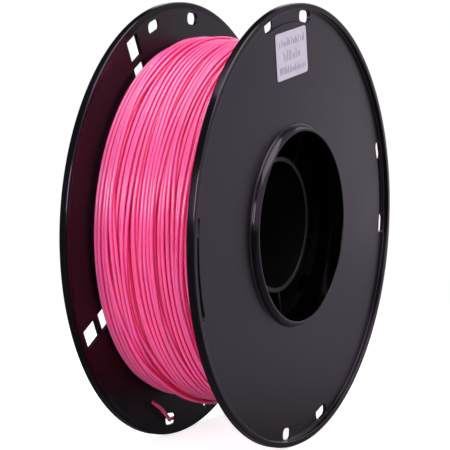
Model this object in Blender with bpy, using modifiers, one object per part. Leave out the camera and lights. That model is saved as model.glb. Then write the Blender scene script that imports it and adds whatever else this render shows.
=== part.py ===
"""Filament spool for a 3-D printer: two moulded flanges snapped onto a core, wound with 1.75 mm filament.

The origin is the middle of the spool. The spool's axis is Y, the labelled flange faces -Y, and +Z is up.
Angles round the axis are counted from +Z towards +X. Lengths are in metres.
"""

import math

import bmesh
import bpy
from mathutils import Matrix, Vector

MM = 0.001

# Spool
FLANGE_DIAMETER = 200.0 * MM
SPOOL_WIDTH = 65.5 * MM  # over the two rims
FIT_GAP = 0.3 * MM  # between pieces that seat on each other
ROUND_STEPS = 72  # facets of a large round piece
HUB_STEPS = 48  # facets of the core's parts and the winding
ARC_STEPS = 6  # facets of a hook gap or a groove
CATCH_STEPS = 2  # facets of a catch window
CORNER_STEPS = 4  # facets of an outline's round corner

# Flange rim and web
RIM_WIDTH = 2.7 * MM  # across the rim, from its wall to the edge
RIM_THICKNESS = 4.0 * MM  # along the axis
RIM_ROUNDING = 0.8 * MM
RIM_WALL_ROUNDING = 0.4 * MM
WEB_THICKNESS = 1.8 * MM

# Collar round the mouth of each flange, and the spigot behind it
MOUTH_DIAMETER = 85.8 * MM
LIP_WIDTH = 1.2 * MM
COLLAR_RISE = 1.2 * MM  # how far the lip stands beyond the rim
COLLAR_FLARE = 1.6 * MM  # how much wider the collar is at its foot
LIP_ROUNDING = 0.3 * MM
SPIGOT_WALL = 1.7 * MM
SPIGOT_LENGTH = 7.3 * MM  # behind the web

# Snap hooks on the end of each spigot
HOOK_COUNT = 6
HOOK_ANGLE = math.radians(14.0)
HOOK_WIDTH = 8.0 * MM
HOOK_LENGTH = 4.0 * MM
BARB_LENGTH = 2.0 * MM
BARB_HEIGHT = 1.1 * MM

# Core: barrel, axle tube, web and ribs
BARREL_WALL = 2.0 * MM
BORE_DIAMETER = 57.4 * MM
AXLE_TUBE_WALL = 2.2 * MM
AXLE_TUBE_SETBACK = 11.3 * MM  # from the rim's outer plane to the tube's end
CORE_WEB_THICKNESS = 1.8 * MM
RIB_COUNT = 6
RIB_THICKNESS = 1.8 * MM

# Pairs of oblong holes that park the filament's end, each pair joined by a groove
FRONT_PAIR_COUNT = 4
REAR_PAIR_COUNT = 2
FRONT_ANGLE = math.radians(-6.0)
REAR_ANGLE = math.radians(-4.6)
FRONT_HOLE_EDGE = 0.4 * MM  # from the rim's wall to the hole
REAR_HOLE_EDGE = 1.8 * MM
HOLE_LENGTH = 9.2 * MM  # round the axis
HOLE_HEIGHT = 5.4 * MM  # towards the axis
HOLE_CORNER = 2.3 * MM
HOLE_SPACING = 36.2 * MM  # between the two holes of a pair
GROOVE_WIDTH = 5.0 * MM
GROOVE_DEPTH = 0.9 * MM

# Pairs of windows in the rear flange
WINDOW_PAIR_COUNT = 4
WINDOW_LENGTH = 10.8 * MM  # towards the axis
WINDOW_WIDTH = 9.5 * MM  # round the axis
WINDOW_BAR = 2.4 * MM  # between the two windows of a pair
WINDOW_EDGE = 1.5 * MM  # from the rim's wall to the outer window
WINDOW_ANGLE = math.radians(-23.3)  # from the middle of the upper pair of holes

# Winding and its free end
FILAMENT_DIAMETER = 1.75 * MM
WINDING_DIAMETER = 167.2 * MM
WINDING_FRONT_DROP = 1.5 * MM  # how much lower the winding is at the front flange
WINDING_FRONT_SHOULDER = 9.0 * MM  # how far from that flange the drop begins
WINDING_REAR_DROP = 4.9 * MM
WINDING_REAR_SHOULDER = 13.0 * MM
WINDING_SHOULDER_STEPS = 4

# Label
LABEL_WIDTH = 30.5 * MM
LABEL_HEIGHT = 21.0 * MM
LABEL_THICKNESS = 0.2 * MM
LABEL_CORNER = 1.5 * MM
LABEL_EDGE = 3.3 * MM  # from the groove to the label
LABEL_GLUE = 0.05 * MM
LABEL_ANGLE = math.radians(-4.3)
LABEL_TILT_ANGLE = math.radians(-3.2)

# Worked out from the sizes above. Depths are counted inwards from the rim's outer plane.
FLANGE_RADIUS = FLANGE_DIAMETER / 2
HALF_WIDTH = SPOOL_WIDTH / 2
RIM_WALL_RADIUS = FLANGE_RADIUS - RIM_WIDTH
WEB_DEPTH = RIM_THICKNESS - WEB_THICKNESS
MOUTH_RADIUS = MOUTH_DIAMETER / 2
SPIGOT_RADIUS = MOUTH_RADIUS + SPIGOT_WALL
SPIGOT_DEPTH = RIM_THICKNESS + SPIGOT_LENGTH
HOOK_DEPTH = SPIGOT_DEPTH + HOOK_LENGTH
BARREL_INNER_RADIUS = SPIGOT_RADIUS + FIT_GAP
BARREL_RADIUS = BARREL_INNER_RADIUS + BARREL_WALL
BORE_RADIUS = BORE_DIAMETER / 2
AXLE_TUBE_RADIUS = BORE_RADIUS + AXLE_TUBE_WALL
FRONT_HOLE_CIRCLE = RIM_WALL_RADIUS - FRONT_HOLE_EDGE - HOLE_HEIGHT / 2
REAR_HOLE_CIRCLE = RIM_WALL_RADIUS - REAR_HOLE_EDGE - HOLE_HEIGHT / 2
LABEL_DISTANCE = FRONT_HOLE_CIRCLE - GROOVE_WIDTH / 2 - LABEL_EDGE - LABEL_HEIGHT / 2
WINDING_RADIUS = WINDING_DIAMETER / 2

# The route of the filament's free end over the rear flange, past the lower pair of holes. Each point has
# the hole it is counted from (-1 the first, 1 the second, 0 the middle between them), its angle past that in
# degrees, its place between the winding (0) and the circle of the holes (1), and its depth in millimetres
# from the rear rim's plane. The strand leaves the winding, goes out by the first hole, along the groove,
# and in again by the second.
TAIL_ROUTE = (
    (-1, -39.5, 0.0, 11.5),
    (-1, -31.5, 0.015, 9.8),
    (-1, -22.5, 0.17, 8.2),
    (-1, -13.5, 0.52, 7.0),
    (-1, -6.0, 0.86, 6.3),
    (-1, -2.0, 0.97, 5.3),
    (-1, 0.0, 1.0, 3.5),
    (-1, 2.1, 1.02, 1.8),
    (-1, 5.5, 1.03, 1.6),
    (0, 0.0, 1.04, 1.65),
    (1, -5.5, 1.05, 1.6),
    (1, -2.1, 1.06, 1.8),
    (1, 0.0, 1.06, 3.4),
    (1, 2.0, 1.0, 5.1),
    (1, 4.1, 0.84, 5.8),
    (1, 6.5, 0.6, 5.95),
    (1, 9.5, 0.37, 5.85),
    (1, 13.8, 0.2, 5.7),
)
TAIL_STEPS = 4  # pieces of the smooth curve between two points of the route
TAIL_ROUNDNESS = 2

# Colours
BLACK = (0.022, 0.020, 0.022)
PINK = (1.0, 0.13, 0.38)
PAPER = (0.62, 0.60, 0.66)

# The sides of the spool, as signs of Y
FRONT = -1.0
REAR = 1.0


def clear_scene():
    for obj in list(bpy.data.objects):
        bpy.data.objects.remove(obj)


def new_collection(name):
    collection = bpy.data.collections.new(name)
    bpy.context.scene.collection.children.link(collection)
    return collection


def plastic(name, colour, roughness):
    material = bpy.data.materials.new(name)
    material.use_nodes = True
    shader = material.node_tree.nodes["Principled BSDF"]
    shader.inputs["Base Color"].default_value = (*colour, 1.0)
    shader.inputs["Roughness"].default_value = roughness
    shader.inputs["Metallic"].default_value = 0.0
    return material


def around(angle, radius, y):
    """The point at that angle round the axis, distance from it and place along it."""
    return Vector((radius * math.sin(angle), y, radius * math.cos(angle)))


def arc(centre, radius, start, end, steps):
    """Points of an arc in a profile, as (distance from the axis, depth). Angles are in degrees."""
    points = []
    for i in range(steps + 1):
        angle = math.radians(start + (end - start) * i / steps)
        points.append((centre[0] + radius * math.cos(angle), centre[1] + radius * math.sin(angle)))
    return points


def turned(name, profile, steps, collection):
    """A closed profile of (distance from the axis, y) points, turned round Y with a flat bottom facet."""
    mesh = bpy.data.meshes.new(name)
    count = len(profile)
    edges = [(i, (i + 1) % count) for i in range(count)]
    mesh.from_pydata([(radius, y, 0.0) for radius, y in profile], edges, [])
    obj = bpy.data.objects.new(name, mesh)
    collection.objects.link(obj)
    screw = obj.modifiers.new("turn", "SCREW")
    screw.axis = "Y"
    screw.steps = steps
    screw.render_steps = steps
    screw.use_merge_vertices = True
    screw.merge_threshold = 0.00001
    screw.use_smooth_shade = True
    obj.rotation_euler.y = math.pi / steps
    return obj


def to_mesh(obj, name, collection):
    """Makes a curve object a welded mesh object, so that a Boolean can use it."""
    graph = bpy.context.evaluated_depsgraph_get()
    mesh = bpy.data.meshes.new_from_object(obj.evaluated_get(graph))
    place = obj.matrix_world.copy()
    bpy.data.objects.remove(obj)
    made = bpy.data.objects.new(name, mesh)
    made.matrix_world = place
    shape = bmesh.new()
    shape.from_mesh(mesh)
    bmesh.ops.remove_doubles(shape, verts=shape.verts, dist=0.000001)
    shape.to_mesh(mesh)
    shape.free()
    collection.objects.link(made)
    return made


def prism(name, outline, low, high, collection):
    """A flat outline of (x, z) points, extruded along Y from low to high."""
    curve = bpy.data.curves.new(name, "CURVE")
    curve.dimensions = "2D"
    curve.fill_mode = "BOTH"
    curve.extrude = (high - low) / 2
    spline = curve.splines.new("POLY")
    spline.points.add(len(outline) - 1)
    for point, (x, z) in zip(spline.points, outline):
        point.co = (x, z, 0.0, 1.0)
    spline.use_cyclic_u = True
    obj = bpy.data.objects.new(name, curve)
    bpy.context.scene.collection.objects.link(obj)
    obj.rotation_euler.x = math.pi / 2
    obj.location.y = (low + high) / 2
    bpy.context.view_layer.update()
    return to_mesh(obj, name, collection)


def sector(name, inner, outer, middle, half, low, high, steps, collection):
    """A piece of a ring, half an angle to each side of its middle, for cutting."""
    angles = [middle + half * (2 * i / steps - 1) for i in range(steps + 1)]
    outline = [(outer * math.sin(a), outer * math.cos(a)) for a in angles]
    outline += [(inner * math.sin(a), inner * math.cos(a)) for a in reversed(angles)]
    return prism(name, outline, low, high, collection)


def box(name, size, centre, angle, collection):
    """A box turned by an angle round Y. Its size is along the tangent, the axis and the radius."""
    bpy.ops.mesh.primitive_cube_add(size=1.0)
    obj = bpy.context.object
    obj.name = name
    obj.data.transform(Matrix.Diagonal((*size, 1.0)))
    obj.rotation_euler.y = angle
    obj.location = centre
    move_to(obj, collection)
    return obj


def turn_about_axis(obj, angle):
    obj.matrix_world = Matrix.Rotation(angle, 4, "Y") @ obj.matrix_world


def move_to(obj, collection):
    for old in list(obj.users_collection):
        old.objects.unlink(obj)
    collection.objects.link(obj)


def combine(obj, tools, operation):
    """Cuts the tools from the object, or joins them to it, and hides them."""
    for tool in tools:
        tool.hide_render = True
        tool.display_type = "WIRE"
        modifier = obj.modifiers.new(tool.name, "BOOLEAN")
        modifier.operation = operation
        modifier.solver = "EXACT"
        modifier.object = tool


def mirrored(profile, side):
    """Profile points of one side of the spool, with their depths made into places along Y."""
    points = [(radius, side * (HALF_WIDTH - depth)) for radius, depth in profile]
    return points if side == REAR else points[::-1]


def span(side, shallow, deep):
    """The low and high y of a range of depths on one side of the spool."""
    return sorted((side * (HALF_WIDTH - shallow), side * (HALF_WIDTH - deep)))


def spread(start, count):
    """Equal steps round the axis, from the start angle."""
    return [start + 2 * math.pi * i / count for i in range(count)]


def hole_half_angle(circle):
    """Half the angle between the two holes of a pair on that circle."""
    return math.asin(HOLE_SPACING / 2 / circle)


def rounded_outline(width, height, corner):
    """A rectangle with round corners about the origin, as (x, z) points."""
    across = width / 2 - corner
    along = height / 2 - corner
    outline = []
    for i, (x, z) in enumerate(((across, along), (-across, along), (-across, -along), (across, -along))):
        outline += arc((x, z), corner, 90 * i, 90 * i + 90, CORNER_STEPS)
    return outline


def flange_profile():
    """The flange, its collar, spigot and hooks, as (distance from the axis, depth) points."""
    edge = RIM_ROUNDING
    lip = LIP_ROUNDING
    wall = RIM_WALL_ROUNDING
    points = arc((FLANGE_RADIUS - edge, edge), edge, -90, 0, 3)
    points += arc((FLANGE_RADIUS - edge, RIM_THICKNESS - edge), edge, 0, 90, 3)
    points += [
        (SPIGOT_RADIUS, RIM_THICKNESS),
        (SPIGOT_RADIUS, HOOK_DEPTH - BARB_LENGTH),
        (SPIGOT_RADIUS + BARB_HEIGHT, HOOK_DEPTH - BARB_LENGTH),
        (SPIGOT_RADIUS + BARB_HEIGHT / 2, HOOK_DEPTH),
        (MOUTH_RADIUS, HOOK_DEPTH),
    ]
    points += arc((MOUTH_RADIUS + lip, lip - COLLAR_RISE), lip, 180, 270, 2)
    points += arc((MOUTH_RADIUS + LIP_WIDTH - lip, lip - COLLAR_RISE), lip, 270, 360, 2)
    points += [
        (MOUTH_RADIUS + LIP_WIDTH + COLLAR_FLARE, WEB_DEPTH),
        (RIM_WALL_RADIUS, WEB_DEPTH),
    ]
    points += arc((RIM_WALL_RADIUS + wall, wall), wall, 180, 270, 2)
    return points


def between_hooks(name, side, cutters):
    """Cutters that leave only the hooks of the spigot's end."""
    half_hook = math.asin(HOOK_WIDTH / 2 / SPIGOT_RADIUS)
    half_gap = math.pi / HOOK_COUNT - half_hook
    low, high = span(side, SPIGOT_DEPTH, HOOK_DEPTH + FIT_GAP)
    inner = MOUTH_RADIUS - SPIGOT_WALL
    outer = SPIGOT_RADIUS + 2 * BARB_HEIGHT
    made = []
    for i, middle in enumerate(spread(HOOK_ANGLE + math.pi / HOOK_COUNT, HOOK_COUNT)):
        label = f"{name}_hook_gap_{i + 1}"
        made.append(sector(label, inner, outer, middle, half_gap, low, high, ARC_STEPS, cutters))
    return made


def filament_holes(name, side, middles, circle, cutters):
    """Pairs of holes through the flange on that circle, and the grooves in its outer face."""
    low, high = span(side, -COLLAR_RISE, 2 * RIM_THICKNESS)
    outline = [(x, z + circle) for x, z in rounded_outline(HOLE_LENGTH, HOLE_HEIGHT, HOLE_CORNER)]
    half = hole_half_angle(circle)
    made = []
    for i, middle in enumerate(middles):
        for j, offset in enumerate((-half, half)):
            hole = prism(f"{name}_hole_{i + 1}_{j + 1}", outline, low, high, cutters)
            turn_about_axis(hole, middle + offset)
            made.append(hole)
        made.append(groove(f"{name}_groove_{i + 1}", side, middle, circle, cutters))
    return made


def groove(name, side, middle, circle, cutters):
    low, high = span(side, WEB_DEPTH - GROOVE_DEPTH, WEB_DEPTH + GROOVE_DEPTH)
    inner = circle - GROOVE_WIDTH / 2
    outer = circle + GROOVE_WIDTH / 2
    half = hole_half_angle(circle)
    return sector(name, inner, outer, middle, half, low, high, ARC_STEPS, cutters)


def windows(name, side, cutters):
    """Pairs of almost square windows through the web, one nearer the axis than the other."""
    depth = 4 * RIM_THICKNESS
    outer = RIM_WALL_RADIUS - WINDOW_EDGE - WINDOW_LENGTH / 2
    made = []
    for i, angle in enumerate(spread(REAR_ANGLE + WINDOW_ANGLE, WINDOW_PAIR_COUNT)):
        for j in range(2):
            distance = outer - j * (WINDOW_LENGTH + WINDOW_BAR)
            centre = around(angle, distance, side * HALF_WIDTH)
            size = (WINDOW_WIDTH, depth, WINDOW_LENGTH)
            made.append(box(f"{name}_window_{i + 1}_{j + 1}", size, centre, angle, cutters))
    return made


def make_flange(name, side, cuts, parts, cutters):
    flange = turned(name, mirrored(flange_profile(), side), ROUND_STEPS, parts)
    combine(flange, between_hooks(name, side, cutters) + cuts, "DIFFERENCE")
    flange.data.materials.append(plastic(name, BLACK, 0.35))
    return flange


def make_front_flange(parts, cutters):
    name = "front_flange"
    middles = spread(FRONT_ANGLE, FRONT_PAIR_COUNT)
    cuts = filament_holes(name, FRONT, middles, FRONT_HOLE_CIRCLE, cutters)
    return make_flange(name, FRONT, cuts, parts, cutters)


def make_rear_flange(parts, cutters):
    name = "rear_flange"
    middles = spread(REAR_ANGLE, REAR_PAIR_COUNT)
    cuts = filament_holes(name, REAR, middles, REAR_HOLE_CIRCLE, cutters)
    cuts += windows(name, REAR, cutters)
    return make_flange(name, REAR, cuts, parts, cutters)


def core_profile():
    """Barrel, web and axle tube in one moulding, as (distance from the axis, y) points."""
    barrel_end = HALF_WIDTH - RIM_THICKNESS - FIT_GAP
    tube_end = HALF_WIDTH - AXLE_TUBE_SETBACK
    web = CORE_WEB_THICKNESS / 2
    upper = [
        (BARREL_INNER_RADIUS, barrel_end),
        (BARREL_INNER_RADIUS, web),
        (AXLE_TUBE_RADIUS, web),
        (AXLE_TUBE_RADIUS, tube_end),
        (BORE_RADIUS, tube_end),
    ]
    lower = [(radius, -y) for radius, y in reversed(upper)]
    outer = [(BARREL_RADIUS, -barrel_end), (BARREL_RADIUS, barrel_end)]
    return (outer + upper + lower)[::-1]


def make_core(material, parts, cutters):
    core = turned("core", core_profile(), HUB_STEPS, parts)
    rib_end = HALF_WIDTH - HOOK_DEPTH - FIT_GAP
    inner = AXLE_TUBE_RADIUS - AXLE_TUBE_WALL / 2
    outer = BARREL_INNER_RADIUS + BARREL_WALL / 2
    ribs = []
    for i, angle in enumerate(spread(HOOK_ANGLE + math.pi / RIB_COUNT, RIB_COUNT)):
        size = (RIB_THICKNESS, 2 * rib_end, outer - inner)
        centre = around(angle, (outer + inner) / 2, 0.0)
        ribs.append(box(f"core_rib_{i + 1}", size, centre, angle, cutters))
    combine(core, ribs, "UNION")
    combine(core, catch_windows(cutters), "DIFFERENCE")
    core.data.materials.append(material)
    return core


def catch_windows(cutters):
    """Windows in the barrel that the flanges' hooks snap into."""
    half = math.asin(HOOK_WIDTH / 2 / SPIGOT_RADIUS) + FIT_GAP / SPIGOT_RADIUS
    inner = BARREL_INNER_RADIUS - BARREL_WALL / 2
    outer = BARREL_RADIUS + BARREL_WALL / 2
    made = []
    for name, side in (("front", FRONT), ("rear", REAR)):
        low, high = span(side, HOOK_DEPTH - BARB_LENGTH - FIT_GAP, HOOK_DEPTH + FIT_GAP)
        for i, angle in enumerate(spread(HOOK_ANGLE, HOOK_COUNT)):
            label = f"core_{name}_catch_{i + 1}"
            made.append(sector(label, inner, outer, angle, half, low, high, CATCH_STEPS, cutters))
    return made


def winding_profile():
    """The wound filament as one ring, lower where it meets the flanges."""
    end = HALF_WIDTH - RIM_THICKNESS - FIT_GAP
    inner = BARREL_RADIUS + FIT_GAP
    points = [(inner, end)]
    for side, drop, width in (
        (REAR, WINDING_REAR_DROP, WINDING_REAR_SHOULDER),
        (FRONT, WINDING_FRONT_DROP, WINDING_FRONT_SHOULDER),
    ):
        shoulder = []
        for i in range(WINDING_SHOULDER_STEPS + 1):
            share = i / WINDING_SHOULDER_STEPS
            sink = drop * (1 - math.sqrt(1 - share * share))
            shoulder.append((WINDING_RADIUS - sink, side * (end - width * (1 - share))))
        points += shoulder[::-1] if side == REAR else shoulder
    points.append((inner, -end))
    return points


def make_winding(material, parts):
    winding = turned("filament_winding", winding_profile(), HUB_STEPS, parts)
    winding.data.materials.append(material)
    return winding


def tail_points():
    """A smooth curve through the tail's route, as points in space."""
    middle = REAR_ANGLE + math.pi
    lowest = WINDING_RADIUS + FIT_GAP + FILAMENT_DIAMETER / 2
    knots = []
    for hole, degrees, share, depth in TAIL_ROUTE:
        angle = middle + hole * hole_half_angle(REAR_HOLE_CIRCLE) + math.radians(degrees)
        distance = lowest + share * (REAR_HOLE_CIRCLE - lowest)
        knots.append(around(angle, distance, HALF_WIDTH - depth * MM))
    ends = [2 * knots[0] - knots[1], *knots, 2 * knots[-1] - knots[-2]]
    points = []
    for a, b, c, d in zip(ends, ends[1:], ends[2:], ends[3:]):
        for i in range(TAIL_STEPS):
            t = i / TAIL_STEPS
            blend = 2 * b + (c - a) * t
            blend += (2 * a - 5 * b + 4 * c - d) * t * t
            blend += (3 * b - 3 * c + d - a) * t * t * t
            points.append(blend / 2)
    points.append(knots[-1])
    return points


def make_tail(material, parts):
    points = tail_points()
    curve = bpy.data.curves.new("filament_tail", "CURVE")
    curve.dimensions = "3D"
    curve.bevel_depth = FILAMENT_DIAMETER / 2
    curve.bevel_resolution = TAIL_ROUNDNESS
    curve.use_fill_caps = True
    spline = curve.splines.new("POLY")
    spline.points.add(len(points) - 1)
    for point, place in zip(spline.points, points):
        point.co = (*place, 1.0)
    tail = bpy.data.objects.new("filament_tail", curve)
    parts.objects.link(tail)
    curve.materials.append(material)
    return tail


def make_label(material, parts):
    """A paper label on the front flange, below a pair of holes and a little askew."""
    low, high = span(FRONT, WEB_DEPTH - LABEL_GLUE - LABEL_THICKNESS, WEB_DEPTH - LABEL_GLUE)
    label = prism("label", rounded_outline(LABEL_WIDTH, LABEL_HEIGHT, LABEL_CORNER), low, high, parts)
    turn_about_axis(label, LABEL_TILT_ANGLE)
    label.matrix_world = Matrix.Translation((0.0, 0.0, LABEL_DISTANCE)) @ label.matrix_world
    turn_about_axis(label, LABEL_ANGLE)
    label.data.materials.append(material)
    return label


def main():
    clear_scene()
    parts = new_collection("filament_spool")
    cutters = new_collection("cutters")
    make_front_flange(parts, cutters)
    make_rear_flange(parts, cutters)
    make_core(plastic("core", BLACK, 0.4), parts, cutters)
    make_winding(plastic("filament_winding", PINK, 0.3), parts)
    make_tail(plastic("filament_tail", PINK, 0.3), parts)
    make_label(plastic("label", PAPER, 0.6), parts)


main()
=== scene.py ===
"""Looks of the filament spool: fine mouldings, single turns of filament, materials, studio and camera.

Angles round the spool's axis (Y) are counted from +Z towards +X. Depths are counted inwards from the outer
plane of a rim. Lengths are in metres, angles in degrees where a name says so and otherwise in radians.
"""

import math
import random

import bmesh
import bpy
import numpy as np
from mathutils import Matrix, Vector


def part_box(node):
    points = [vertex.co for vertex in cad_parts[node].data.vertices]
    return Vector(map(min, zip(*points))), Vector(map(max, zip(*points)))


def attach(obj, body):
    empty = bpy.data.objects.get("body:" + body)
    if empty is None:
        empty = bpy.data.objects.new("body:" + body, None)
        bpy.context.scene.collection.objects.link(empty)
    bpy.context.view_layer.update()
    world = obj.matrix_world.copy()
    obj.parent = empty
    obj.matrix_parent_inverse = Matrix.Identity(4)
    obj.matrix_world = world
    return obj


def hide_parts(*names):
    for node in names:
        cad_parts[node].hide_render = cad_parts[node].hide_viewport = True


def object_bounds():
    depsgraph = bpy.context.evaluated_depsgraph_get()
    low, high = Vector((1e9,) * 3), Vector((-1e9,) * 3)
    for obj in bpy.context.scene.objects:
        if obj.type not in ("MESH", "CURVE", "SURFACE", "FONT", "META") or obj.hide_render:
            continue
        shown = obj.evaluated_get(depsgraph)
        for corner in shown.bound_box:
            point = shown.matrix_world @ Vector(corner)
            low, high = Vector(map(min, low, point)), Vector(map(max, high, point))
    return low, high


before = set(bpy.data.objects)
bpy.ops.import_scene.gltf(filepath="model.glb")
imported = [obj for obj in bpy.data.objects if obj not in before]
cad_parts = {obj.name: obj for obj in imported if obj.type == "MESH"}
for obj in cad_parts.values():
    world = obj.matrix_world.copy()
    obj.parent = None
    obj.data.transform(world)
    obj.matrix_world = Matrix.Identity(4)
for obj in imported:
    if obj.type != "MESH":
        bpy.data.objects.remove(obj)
cad_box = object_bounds()

MM = 0.001

# Sizes shared with the construction model
FIT_GAP = 0.3 * MM  # between pieces that seat on each other
FLANGE_RADIUS = 100.0 * MM
COLLAR_RISE = 1.2 * MM  # how far a collar's lip stands beyond the rim
COLLAR_FLARE = 1.6 * MM  # how much wider the collar is at its foot
HALF_WIDTH = -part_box("front_flange")[0].y - COLLAR_RISE  # from the spool's middle to a rim's outer plane
RIM_THICKNESS = 4.0 * MM
RIM_WALL_RADIUS = 97.3 * MM
WEB_THICKNESS = 1.8 * MM
WEB_DEPTH = RIM_THICKNESS - WEB_THICKNESS
MOUTH_RADIUS = 42.9 * MM
LIP_WIDTH = 1.2 * MM
COLLAR_FOOT_RADIUS = MOUTH_RADIUS + LIP_WIDTH + COLLAR_FLARE
SPIGOT_RADIUS = 44.6 * MM
SPIGOT_DEPTH = 11.3 * MM
HOOK_DEPTH = 15.3 * MM
HOOK_ANGLE = math.radians(14.0)
HOOK_COUNT = 6
HOOK_WIDTH = 8.0 * MM
BARB_LENGTH = 2.0 * MM
BARB_HEIGHT = 1.1 * MM
BARREL_INNER_RADIUS = SPIGOT_RADIUS + FIT_GAP
BARREL_RADIUS = 46.9 * MM
BARREL_END = HALF_WIDTH - RIM_THICKNESS - FIT_GAP
BORE_RADIUS = 28.7 * MM
AXLE_TUBE_RADIUS = 30.9 * MM
AXLE_TUBE_SETBACK = 11.3 * MM  # from a rim's outer plane to the tube's end
AXLE_TUBE_END = HALF_WIDTH - AXLE_TUBE_SETBACK
RIB_COUNT = 6
RIB_THICKNESS = 1.8 * MM
RIB_END = HALF_WIDTH - HOOK_DEPTH - FIT_GAP

FRONT_PAIR_COUNT = 4
REAR_PAIR_COUNT = 2
FRONT_ANGLE = math.radians(-6.0)
REAR_ANGLE = math.radians(-4.6)
HOLE_LENGTH = 9.2 * MM  # round the axis
HOLE_HEIGHT = 5.4 * MM  # towards the axis
HOLE_CORNER = 2.3 * MM
HOLE_SPACING = 36.2 * MM  # between the two holes of a pair
FRONT_HOLE_CIRCLE = 94.2 * MM  # radius of the circle that the holes lie on
REAR_HOLE_CIRCLE = 92.8 * MM
GROOVE_WIDTH = 5.0 * MM
GROOVE_DEPTH = 0.9 * MM
WINDOW_PAIR_COUNT = 4
WINDOW_LENGTH = 10.8 * MM  # towards the axis
WINDOW_WIDTH = 9.5 * MM  # round the axis
WINDOW_BAR = 2.4 * MM  # between the two windows of a pair
WINDOW_EDGE = 1.5 * MM  # from the rim's wall to the outer window
WINDOW_ANGLE = math.radians(-23.3)  # from the middle of the upper pair of holes

LABEL_SIZE = (30.5 * MM, 21.0 * MM)
LABEL_THICKNESS = 0.2 * MM
LABEL_CORNER = 1.5 * MM
LABEL_GLUE = 0.05 * MM
LABEL_DISTANCE = 77.9 * MM  # from the axis to its middle
LABEL_ANGLE = math.radians(-4.3)
LABEL_TILT_ANGLE = math.radians(-3.2)

# The sides of the spool, as signs of Y
FRONT = -1.0
REAR = 1.0

# Edges of the openings in a flange, and the cutters that make them
HOLE_ROUNDING = 0.25 * MM
WINDOW_ROUNDING = 0.1 * MM
WINDOW_CORNER = 0.5 * MM
FLARE_LENGTH = 3.0 * MM  # how far a flaring cutter goes on beyond the face it cuts
FLARE_SPREAD = 1.6  # how far it spreads there, as a share of the rounded edge
CUTTER_REACH = 1.0 * MM  # how far any other cutter goes on beyond what it cuts

# How fine the shapes are
ROUND_STEPS = 288
BED_ROUND_STEPS = 192
QUARTER_STEPS = 5  # of a rounded edge or a hollow foot
RING_PIECE_STEPS = 10
GROOVE_STEPS = 24
COLLAR_STEPS = 8
TURN_STEPS = 144  # points in one turn of filament
STRAND_SIDES = 10
END_STEPS = 8  # points of the free end between two points of its route
END_SIDES = 16
SHARP_ANGLE = math.radians(40.0)  # between two faces that keep a hard edge

# Filament
STRAND = 1.75 * MM
WINDING_RADIUS = 83.6 * MM
WINDING_END = BARREL_END
STRAND_INSET = 0.1 * MM  # what the outermost turns keep from the winding's end
GUIDE_INSET = 0.15 * MM  # what the winder keeps from it
STRAND_END = WINDING_END - STRAND / 2 - STRAND_INSET  # the outermost place of a strand's middle
GUIDE_END = WINDING_END - STRAND / 2 - GUIDE_INSET  # the outermost place that the winder leads it to
BED_RADIUS = 78.3 * MM  # middle of the lowest strands that are laid one by one
HUMP_START = 9.0 * MM
HUMP_RISE = 6.0 * MM  # how far along the axis the hump takes to rise
HUMP_END = 21.0 * MM
HUMP_HEIGHT = 1.2 * MM
REAR_FALL = 1.9 * MM
REAR_FALL_POWER = 1.5  # the fall is gentle at first
WINDING_LIFT = 0.8 * MM  # how far above the spool's axis the middle of the turns lies
WINDING_SEED = 7
WINDING_PASSES = (  # (start, end, pitch) of each layer
    (-GUIDE_END, GUIDE_END, 2.12 * MM),
    (GUIDE_END, -GUIDE_END, 2.2 * MM),
    (-GUIDE_END, 10.0 * MM, 2.3 * MM),
    (10.0 * MM, 21.25 * MM, 2.6 * MM),
)
# How the winder's hand wavers: (steps from one free value to the next, furthest shift)
WAVERS = (
    (TURN_STEPS, 0.45 * MM),
    (TURN_STEPS // 3, 0.28 * MM),
)
# Where the outer turns leave their paths: (y and its reach in mm, angle round the axis and its reach in
# degrees, shift in mm)
WANDERINGS = (
    (17.0, 4.5, -165.0, 30.0, -6.0),
    (19.0, 0.9, -165.0, 36.0, -6.0),
    (9.0, 0.8, -118.0, 18.0, 4.2),
    (3.0, 0.8, -60.0, 16.0, -3.6),
    (-6.0, 0.8, -95.0, 20.0, 4.0),
    (-13.0, 0.8, -48.0, 15.0, 3.6),
    (-18.0, 0.8, -120.0, 18.0, 3.2),
    (14.0, 0.8, -66.0, 18.0, 3.4),
    (12.0, 0.9, 30.0, 20.0, -4.0),
    (0.0, 0.9, 80.0, 20.0, 3.6),
    (-10.0, 0.9, 140.0, 20.0, 3.6),
)
# Where the outer turns part: (y in mm, angle round the axis and its reach in degrees, width in mm)
PARTINGS = (
    (-0.6, -38.0, 9.0, 1.9),
    (21.5, -45.0, 18.0, 1.8),
    (18.0, -98.0, 11.0, 1.9),
    (10.0, -135.0, 11.0, 2.6),
    (-14.2, -63.0, 9.0, 2.1),
    (-17.5, -105.0, 8.0, 1.9),
    (12.6, -47.0, 9.0, 1.7),
    (5.0, -84.0, 8.0, 1.4),
    (-5.0, 60.0, 10.0, 1.9),
    (8.0, 130.0, 10.0, 1.9),
    (-12.0, 15.0, 10.0, 1.9),
)
PARTING_REACH = 3.5 * MM  # how far to each side of a parting the turns give way
PARTING_EDGE = 0.4 * MM  # how far from its middle the push is nearly full

# How a turn settles on the turns below it
ROLL_PASSES = 26
ROLL_PROBE = 0.12 * MM  # how far to each side it feels how high it would lie
ROLL_SHARE = 0.2  # how far it rolls in one pass, as a share of that difference in height
ROLL_STIFFNESS = 3.2  # how many steps a sideways bend is spread over
GUIDE_HOLD = 0.985  # what the winder leaves of a drift in each pass
LIFT_PASSES = 6
LIFT_STIFFNESS = 3.0  # how many steps a rise is spread over
CARRIED_STEPS = 24  # how many steps of one turn bear on the next
LEAD_STEPS = 40  # how long the last turn takes to reach the start of the free end
END_SWELLING = 1.001  # keeps the free end's skin clear of the last turn's where they overlap

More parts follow.
